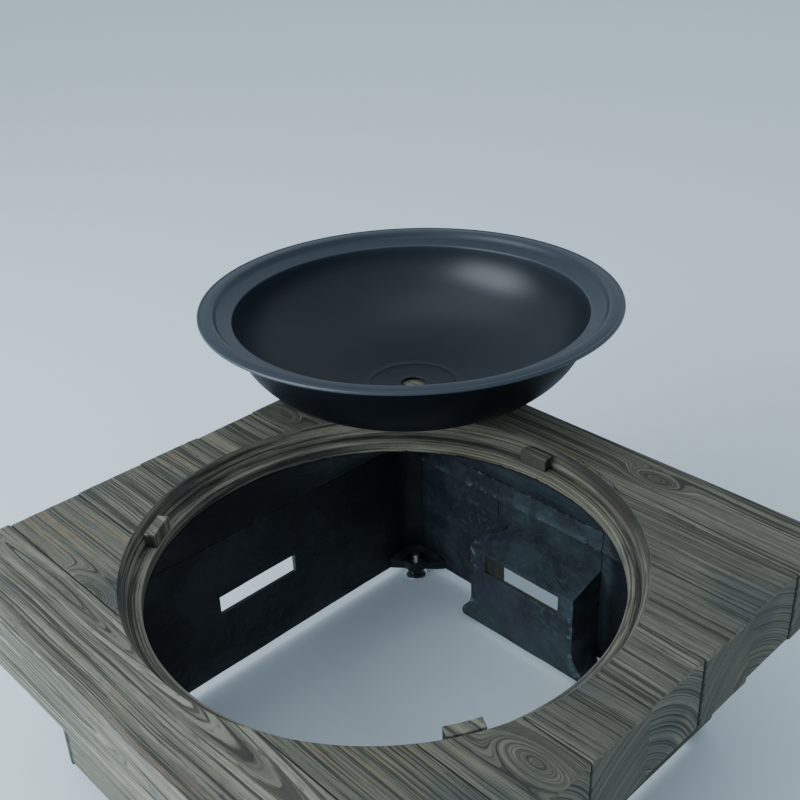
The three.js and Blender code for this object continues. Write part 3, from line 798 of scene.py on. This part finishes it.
def end_panel(name, side):
    x = with_lines(-ROOM_X - WALL, ROOM_X + WALL, 150, -SLOT_HALF, SLOT_HALF, -CORNER_END, CORNER_END,
                   -CORNER_END - 0.2 * MM, CORNER_END + 0.2 * MM)[None, :]
    joints = WALL_LOW + 0.0666 * np.arange(1, 4)[:, None] + np.array([-1.6, 0, 1.6]) * MM
    z = with_lines(WALL_LOW, WALL_TOP, 48, SLOT_LOW, SLOT_TOP, *joints.ravel()[:-3])[:, None]
    into = np.clip((np.abs(x) - (ROOM_X - CORNER)) / CORNER, 0, 1)
    fillet = CORNER * (1 - np.sqrt(1 - into ** 2)) * (np.abs(x) <= CORNER_END)
    y_in = ROOM_Y - 1.1 * MM * (0.6 + rough(x, z, 0.06, 51 + side)) - fillet
    y_out = ROOM_Y + WALL - 1.6 * MM * plank_groove(z) - 0.25 * MM * (1 + rough(x, z * 4, 0.08, 53))
    z_out = z - SLOT_FALL * (np.abs(z - SLOT_LOW) < 1e-5)
    number = np.floor((z - WALL_LOW) / 0.0666)
    inner, outer = stack(x, side * y_in, z), stack(x, side * y_out, z_out)
    hole = (where(z, SLOT_LOW), where(z, SLOT_TOP), where(x, -SLOT_HALF), where(x, SLOT_HALF))
    grain = plank_grain(z - WALL_LOW - number * 0.0666, x, number + 20)
    # painted shade: the front and back panels' inner faces get a low tone of 0.30, which darkens their raw
    # resin
    walls = skins(Patches(), inner, outer, grain, hole, seam_wear(x, z, 55), -plank_groove(z), 0.30)
    return piece(name.replace("side_panel", "wall"), walls, "surround", [name], cast)


for name, side in (("side_panel_back", 1), ("side_panel_front", -1)):
    end_panel(name, side)

# %% [markdown]
# The left and right panels step inwards to make a hand hold outside. The step is one product of two
# curves: x = wall - depth * across(y) * up(z). across is 1 between the sides of the recess, and up is 1
# below its roof. Several columns share almost the same y there, which makes the sides steep.

# %% Left and right panels
STEP, RECESS_HALF, ROOF_LOW, ROOF_RISE = 0.055, 0.080, TOP - 0.171, 0.017
PANEL_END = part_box("side_panel_right")[1].y


def side_panel(name, side):
    blend = np.linspace(0, 1, 9)
    outer_run = np.linspace(PANEL_END, RECESS_HALF + WALL + 5 * MM, 26)
    inner_run = with_lines(-RECESS_HALF + 2 * MM, RECESS_HALF - 2 * MM, 46, -SLOT_HALF, SLOT_HALF)
    left = np.concatenate([-outer_run, -RECESS_HALF - WALL - 0 * blend])
    widened = inner_run * (RECESS_HALF + WALL - 1.5 * MM) / (RECESS_HALF - 2 * MM)
    y_in = np.concatenate([left, widened, -left[::-1]])
    slot_columns = np.concatenate([0 * left, np.isclose(np.abs(inner_run), SLOT_HALF), 0 * left]) > 0
    y_in[slot_columns] = [-SLOT_HALF, SLOT_HALF]
    left_out = np.concatenate([-outer_run, -RECESS_HALF - 0 * blend])
    y_out = np.concatenate([left_out, inner_run, -left_out[::-1]])
    across = np.concatenate([0 * outer_run, blend, 1 + 0 * inner_run, blend[::-1], 0 * outer_run])
    low_z = with_lines(WALL_LOW, ROOF_LOW - 0.6 * MM, 26, SLOT_LOW, SLOT_TOP)
    roof = np.linspace(0, 1, 9)
    high_z = np.linspace(0.05, 1, 12)
    z_out = np.concatenate([low_z, ROOF_LOW + ROOF_RISE * roof,
                            ROOF_LOW + ROOF_RISE + (WALL_TOP - ROOF_LOW - ROOF_RISE) * high_z])
    z_in = z_out + WALL * smooth((z_out - SLOT_TOP) / 0.001) * (z_out < WALL_TOP - 0.03)
    z_in = np.where(z_out >= WALL_TOP - 0.03, z_out + WALL * (WALL_TOP - z_out) / 0.03, z_in)
    up = np.concatenate([1 + 0 * low_z, 1 - roof, 0 * high_z])[:, None]
    y_in, y_out, across = y_in[None, :], y_out[None, :], across[None, :]
    z_in, z_out = z_in[:, None], z_out[:, None]
    flare = 0.017 * np.exp(-((z_in - WALL_LOW - 7 * MM) / 0.017) ** 2) * np.sign(y_in) * smooth(across * 3)
    y_low = y_in + flare * np.clip((np.abs(y_in) - 0.07) / 0.016, 0, 1)
    resin = 1.2 * MM * (0.7 + rough(y_in + 0.3 * across, z_in, 0.05, 61 + side))
    crease = 2.4 * MM * np.exp(-((z_in - TOP + 0.117) / 0.004) ** 2) * (1 - across * up)
    x_in = ROOM_X - STEP * across * up - resin - crease
    x_out = ROOM_X + WALL - STEP * across * up - 1.6 * MM * plank_groove(z_out) * (across < 0.01)
    x_out = x_out - 0.25 * MM * (1 + rough(y_out, z_out * 4, 0.08, 63))
    inner, outer = stack(side * x_in, y_low, z_in), stack(side * x_out, y_out, z_out)
    outer[..., 2] -= SLOT_FALL * (np.abs(z_out - SLOT_LOW) < 1e-5) * (np.abs(y_out) < RECESS_HALF)
    hole = (where(z_out, SLOT_LOW), where(z_out, SLOT_TOP), where(y_out, -SLOT_HALF), where(y_out, SLOT_HALF))
    number = np.floor((z_out - WALL_LOW) / 0.0666)
    grain = plank_grain(z_out - WALL_LOW - number * 0.0666 + 0.3 * across, y_out, number + 30)
    rub = 0.6 * np.exp(-((across - 1) / 0.12) ** 2) * (np.abs(y_in) > 0.078) * up
    smear_and_shadow = seam_wear(y_in + 0.4 * across, z_in, 65) + rub
    # painted shadow: the wall beside the recess's -Y side is darkened, as if in the block's shadow
    smear_and_shadow = smear_and_shadow - 0.9 * smooth((-y_in - 0.088) / 0.02) * (across < 0.5)
    smear_and_shadow = smear_and_shadow + 0.5 * np.exp(-((z_in - TOP + 0.117) / 0.003) ** 2)
    joints = -plank_groove(z_out) * (across < 0.01)
    # painted light and shade: the +X panel's inside keeps its full tone, as lit, and the -X panel's is
    # darkened
    walls = skins(Patches(), inner, outer, grain, hole, smear_and_shadow, joints, 0.6 + 0.4 * side)
    return piece(name.replace("side_panel", "wall"), walls, "surround", [name], cast)


for name, side in (("side_panel_right", 1), ("side_panel_left", -1)):
    side_panel(name, side)

# %% [markdown]
# Three rest pads stand on the ledge and carry the bowl's flange. A pad is a rounded section swept
# along the ring: the section shrinks to a point at each end, which closes it with rounded arrises.

# %% Rest pads
PAD_HALF, PAD_TOP, PAD_FIRST = 0.019, 0.006, 2.0


def rounded_section(count, power):
    """A square with rounded corners, |u|^p + |v|^p = 1, as unit coordinates u and v."""
    angle = np.linspace(0, 2 * np.pi, count, endpoint=False) + np.pi / count
    c, s = np.cos(angle), np.sin(angle)
    size = (np.abs(c) ** power + np.abs(s) ** power) ** (-1 / power)
    return c * size, s * size


def rest_pad(name, degrees, seed):
    u, v = rounded_section(72, 16)
    place = np.concatenate([[-1, -1, -1, -0.985], np.linspace(-0.95, 0.95, 24), [0.985, 1, 1, 1]])[:, None]
    size = np.concatenate([[0, 0.5, 0.955, 0.99], np.ones(24), [0.99, 0.955, 0.5, 0]])[:, None]
    inner, outer = RING_IN, RING_FOOT - 0.3 * MM
    low, high = -LEDGE + 0.3 * MM, -PAD_TOP
    chips = 0.25 * MM * rough(u + place * 3, v, 0.5, seed) * size
    r = (inner + outer) / 2 + (outer - inner) / 2 * u * size
    z = TOP + (low + high) / 2 + ((high - low) / 2 - 0.3 * MM) * v * size + chips
    w = PAD_HALF * place + 0 * u
    shrink = np.sqrt(np.maximum(r ** 2 - w ** 2, 0))
    t = math.radians(degrees)
    points = stack(shrink * math.cos(t) - w * math.sin(t), shrink * math.sin(t) + w * math.cos(t), z)
    # painted light and shade: the pad's top is lighter and its lower side darker; its end caps are darker and
    # the rows next to them lighter
    wear = 0.35 * smooth(v * size * 3 - 2) - 0.5 * smooth(-v * 3 - 1.6) + 0.3 * (size > 0.9) * (size < 1)
    wear = wear - 0.9 * (np.abs(place) > 0.97) * (size < 0.97)
    block = Patches().add(points, points * (0.6, 0.6, 0.9) + degrees, wear=wear, inside=0.05, tone=0.1,
                          wrap_columns=True)
    return piece(name.replace("rest", "ledge"), block, "surround", [name], cast)


for number in range(3):
    rest_pad(f"rest_pad_{number + 1}", PAD_FIRST + 120 * number, 71 + number)

# %% [markdown]
# ## Feet
# A boss across each inside corner holds a threaded insert. Its upper surface rises to the walls round
# a pocket, out of which the end of the foot's stud stands.

# %% Corner bosses
foot_low, foot_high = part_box("foot_pad_back_right")
FOOT_X, FOOT_Y = (foot_low.x + foot_high.x) / 2, (foot_low.y + foot_high.y) / 2
CORNERS = {"back_right": (1, 1), "back_left": (-1, 1), "front_left": (-1, -1), "front_right": (1, -1)}
BORE, MOUND, WEB, ARM_X, ARM_Y = 0.0113, 0.0145, 0.011, 0.028, 0.039
NOOK_X, NOOK_Y = ROOM_X - 1.5 * MM, ROOM_Y - 1.5 * MM


def corner_boss(name, side_x, side_y, seed):
    angle = np.linspace(0, 2 * np.pi, 96, endpoint=False)[None, :]
    c, s = np.cos(angle), np.sin(angle)
    line = np.array([-(ROOM_Y - FOOT_Y + ARM_Y), -(ROOM_X - FOOT_X + ARM_X)])
    line = line / np.hypot(*line)
    gap = -((FOOT_X - ARM_X - FOOT_X) * line[0] + (ROOM_Y - FOOT_Y) * line[1])
    walls = np.minimum((NOOK_X - FOOT_X) / np.maximum(c, 1e-6), (NOOK_Y - FOOT_Y) / np.maximum(s, 1e-6))
    web = np.minimum(walls, abs(gap) / np.maximum(c * line[0] + s * line[1], 1e-6))
    edge = (web ** 6 + MOUND ** 6) ** (1 / 6)
    edge = np.minimum(edge, walls)
    share = np.linspace(0, 1, 16)[:, None]
    r = BORE + 1.5 * MM + (edge - BORE - 1.5 * MM) * share
    climb = smooth((r - MOUND) / 0.03) * smooth((c + s + 0.4) / 1.2)
    top_z = WALL_LOW + WEB + 5 * MM - 3.5 * MM * smooth((r - MOUND + 1 * MM) / 0.004) + 0.021 * climb
    top_z = top_z + 1.0 * MM * rough(r * c, r * s, 0.018, seed) * smooth(share * 4)
    top_z = np.where(share > 0.97, top_z - 1.2 * MM, top_z)
    r = np.concatenate([BORE + 0 * c, BORE + 0 * c, r, edge - 0.2 * MM, edge - 1.2 * MM])
    z = np.concatenate([WALL_LOW + 0 * c, top_z[:1] - 1.5 * MM, top_z, WALL_LOW + 1 * MM + 0 * c,
                        WALL_LOW + 0 * c])
    points = stack(side_x * (FOOT_X + r * c), side_y * (FOOT_Y + r * s), z)
    # painted shade: the bore and the pocket round the stud are darkened; a lighter rubbed band lies a little
    # further out
    pocket_shade_and_rub = -0.9 * smooth(1 - share * 6) + 0.35 * np.exp(-((share - 0.3) / 0.12) ** 2)
    wear = np.concatenate([[[-1], [-1]], pocket_shade_and_rub, [[0.2], [0]]])
    boss = Patches().add(points, points, wear=wear, inside=1.0, wrap_rows=True, wrap_columns=True)
    return piece(name.replace("corner", "foot"), boss, "surround", [name], cast)


# %% [markdown]
# A thread is a radius that depends on height and angle together: with s = z / pitch - angle / turn,
# the radius rises and falls once for each whole step of s. The hexagon is the same idea in one
# direction: the distance to a flat side is a / cos(angle from the middle of that side).

# %% Studs, nuts and pads
THREAD, PITCH, FLATS = 0.005, 0.0015, 0.0095


def turned_piece(name, r, z, body, slot, material, wear, **settings):
    """A closed piece of radii and heights, both (rows, columns), turned about the foot's own axis."""
    side_x, side_y = CORNERS[name.split("_", 2)[2]]
    angle = np.linspace(0, 2 * np.pi, r.shape[1], endpoint=False)[None, :]
    points = stack(side_x * FOOT_X + r * np.cos(angle), side_y * FOOT_Y + r * np.sin(angle), z)
    shape = Patches().add(points, points, wear=wear, wrap_columns=True, **settings)
    return piece("shaped_" + name, shape, body, [name], material, crease=30)


def foot(corner):
    low, high = (v.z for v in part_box(f"foot_stud_{corner}"))
    angle = np.linspace(0, 2 * np.pi, 28, endpoint=False)[None, :]
    z = np.linspace(low, high, 150)[:, None]
    wave = np.abs(((z / PITCH - angle / (2 * np.pi)) % 1) * 2 - 1)
    r = THREAD - 0.85 * MM * np.clip(wave * 1.3 - 0.15, 0, 1)
    r = np.minimum(r, THREAD - 1.3 * MM + 1.4 * np.minimum(high - z, z - low + 2 * MM))
    r = np.concatenate([0 * angle, r, 0 * angle])
    z = np.concatenate([low + 0 * angle, z + 0 * angle, high + 0 * angle])
    turned_piece(f"foot_stud_{corner}", r, z, f"foot_{corner}", "zinc_steel", zinc, 0.1)
    low, high = (v.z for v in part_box(f"foot_nut_{corner}"))
    angle = np.linspace(0, 2 * np.pi, 72, endpoint=False)[None, :]
    hexagon = FLATS / np.cos((angle + np.pi / 6) % (np.pi / 3) - np.pi / 6)
    chamfer = FLATS * 0.98
    drop = np.maximum(hexagon - chamfer, 0) * 0.55
    bore = THREAD + 0.35 * MM + 0 * angle
    r = np.stack([bore, bore + 0.4 * MM, chamfer + 0 * angle, hexagon, hexagon, chamfer + 0 * angle,
                  bore + 0.4 * MM, bore])[:, 0]
    z = np.stack([high - 0.5 * MM + 0 * angle, high + 0 * angle, high + 0 * angle, high - drop, low + drop,
                  low + 0 * angle, low + 0 * angle, low + 0.5 * MM + 0 * angle])[:, 0]
    edge = np.array([0, 0.3, 0.8, 0.6, 0.6, 0.4, 0, 0])[:, None]
    turned_piece(f"foot_nut_{corner}", r, z, f"foot_{corner}", "black_steel", black, edge, wrap_rows=True)
    section = np.array([(0, 0.6), (9, 0.6), (10, 0), (15, 0), (15.7, 0.3), (16, 1.0), (16, 1.9), (15.5, 2.5),
                        (14, 3.2), (11.6, 4.2), (10.2, 4.8), (9, 5), (7.5, 5), (7, 4.7), (0, 4.7)]) * MM
    blank = np.zeros((1, 64))
    turned_piece(f"foot_pad_{corner}", section[:, :1] + blank, section[:, 1:] + blank, f"foot_{corner}",
                 "zinc_steel", zinc, 0.2)


for number, (corner, (side_x, side_y)) in enumerate(CORNERS.items()):
    corner_boss(f"corner_boss_{corner}", side_x, side_y, 81 + number)
    foot(corner)
    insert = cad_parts[f"insert_{corner}"]
    insert.data.materials.clear()
    insert.data.materials.append(zinc)

# %% [markdown]
# ## The bowl
# The bowl is one disc of steel, spun over a former: drain hole, shallow raised disc, deep smooth body,
# sloping shoulder, steep step, broad flange and a beaded lip. Its upper side is a profile in radius
# and height, and the lower side is the same profile moved by the sheet's thickness along its own
# normals. Two small turns make the bowl lean back a little on its round foot.

# %% Bowl profile
bowl_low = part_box("bowl")[0]
BODY, DEPTH, FULLNESS, SHEET = 0.2369, 0.1152, 0.6, 0.0023
STANDS_AT = np.array([0.2840, 0.2404, bowl_low.z + 1.75 * MM])
LEAN = np.array(Matrix.Rotation(math.radians(1.198), 3, "Y") @ Matrix.Rotation(math.radians(-1.099), 3, "X"))


def soften(points, times):
    """Cuts every corner at a quarter and three quarters of each side, so a few points make a curve."""
    for _ in range(times):
        a, b = points[:-1], points[1:]
        cut = np.stack([0.75 * a + 0.25 * b, 0.25 * a + 0.75 * b], 1).reshape(-1, 2)
        points = np.concatenate([points[:1], cut, points[-1:]])
    return points


def upper_profile():
    """(radius, height) from the hole to the lip; the body is r = R cos(t)^f, h = H (1 - sin t)."""
    disc = np.array([(16.2, 2.0), (16.4, 3.0), (17.5, 3.4), (40, 3.4), (57, 3.4), (60, 2.6), (63, 3.2)]) * MM
    t = np.radians(np.linspace(83, 0, 64))
    body = np.column_stack([BODY * np.cos(t) ** FULLNESS, 2.2 * MM + (DEPTH - 2.2 * MM) * (1 - np.sin(t))])
    flange = np.array([(237.2, 116.0), (238.0, 117.0), (240, 117.7), (246, 119.5), (252, 121.2),
                       (255.2, 122.2), (257.0, 123.6), (258.6, 126.2), (260.3, 128.9), (262.0, 130.2),
                       (264.2, 130.8), (268, 131.0), (272.5, 130.6), (275.4, 129.9), (276.7, 129.9),
                       (278.4, 130.7), (280.2, 130.2), (281.0, 128.4), (280.9, 126.6)]) * MM
    return np.concatenate([soften(disc, 2), body[1:], soften(flange, 2)])


def bowl_section():
    """The upper profile, and back along a blurred copy of it moved by the sheet's thickness."""
    upper = upper_profile()
    kernel = np.exp(-np.linspace(-2, 2, 9) ** 2)
    padded = np.pad(upper, ((4, 4), (0, 0)), "edge")
    blurred = np.stack([np.convolve(padded[:, k], kernel / kernel.sum(), "valid") for k in (0, 1)], 1)
    run = np.gradient(blurred, axis=0)
    run = run / np.hypot(run[:, :1], run[:, 1:])
    lower = blurred + SHEET * np.column_stack([run[:, 1], -run[:, 0]])
    lower[:, 1] = np.maximum(lower[:, 1], 0)
    return np.concatenate([upper, lower[::-1]]), len(upper)


section, turn_back = bowl_section()
angle = np.linspace(0, 2 * np.pi, 200, endpoint=False)[None, :]
r, z = section[:, :1], section[:, 1:]
along = np.concatenate([[0], np.cumsum(np.hypot(*np.diff(section, axis=0).T))])[:, None]
bowl_points = stack(r * np.cos(angle), r * np.sin(angle), z) @ LEAN.T + STANDS_AT
# painted highlights along the three crests of the flange
crest_highlights = 0.9 * np.exp(-((r - 0.2378) / 0.0012) ** 2) + 0.8 * np.exp(-((r - 0.2809) / 0.0012) ** 2)
crest_highlights = crest_highlights + 0.7 * np.exp(-((r - 0.2625) / 0.0012) ** 2)
crest_highlights = crest_highlights * (np.arange(len(section)) < turn_back)[:, None]
bowl_grain = stack(along, r * np.cos(angle), r * np.sin(angle))
# marks the underside for painted shade and a duller finish
underside = (np.arange(len(section)) >= turn_back)[:, None] * 1.0
bowl_shape = Patches().add(bowl_points, bowl_grain, wear=crest_highlights, inside=underside, wrap_rows=True,
                           wrap_columns=True)
piece("fire_bowl", bowl_shape, "bowl", ["bowl"], paint, crease=50)

# %% [markdown]
# The object stands on a plain pale floor. One large soft light stands to the left, a weaker one hangs
# overhead, and a pale sky fills the shadows.

# %% Floor and light
floor_mesh = bpy.data.meshes.new("floor")
floor_mesh.from_pydata([(-9, -9, 0), (9, -9, 0), (9, 9, 0), (-9, 9, 0)], [], [(0, 1, 2, 3)])
floor = bpy.data.objects.new("floor", floor_mesh)
bpy.context.scene.collection.objects.link(floor)


def wire_floor(t):
    return {"Base Color": t.mix(t.noise(t.place(), 0.6), (0.84, 0.92, 0.96, 1), (0.86, 0.93, 0.97, 1))}


floor_mesh.materials.append(material("pale_floor", wire_floor, Roughness=0.8))


def soft_light(name, place, target, size, power, colour):
    """A square area light at a place, turned to face the target."""
    data = bpy.data.lights.new(name, "AREA")
    data.size, data.energy, data.color = size, power, colour
    lamp = bpy.data.objects.new(name, data)
    bpy.context.scene.collection.objects.link(lamp)
    lamp.location = place
    lamp.rotation_euler = (Vector(target) - Vector(place)).to_track_quat("-Z", "Y").to_euler()
    return lamp


soft_light("left_window", (-2.5, 1.05, 1.25), (0.2, 0.1, 0.3), 2.6, 135, (0.80, 0.92, 1.0))
soft_light("overhead", (-0.4, 0.9, 3.0), (0.1, 0.1, 0.3), 2.4, 12, (0.95, 0.98, 1.0))
world = bpy.data.worlds.new("studio")
bpy.context.scene.world = world
world.use_nodes = True
world.node_tree.nodes["Background"].inputs["Color"].default_value = (0.70, 0.86, 1.0, 1)
world.node_tree.nodes["Background"].inputs["Strength"].default_value = 0.75
print("lit by 2 soft lights and a pale sky")
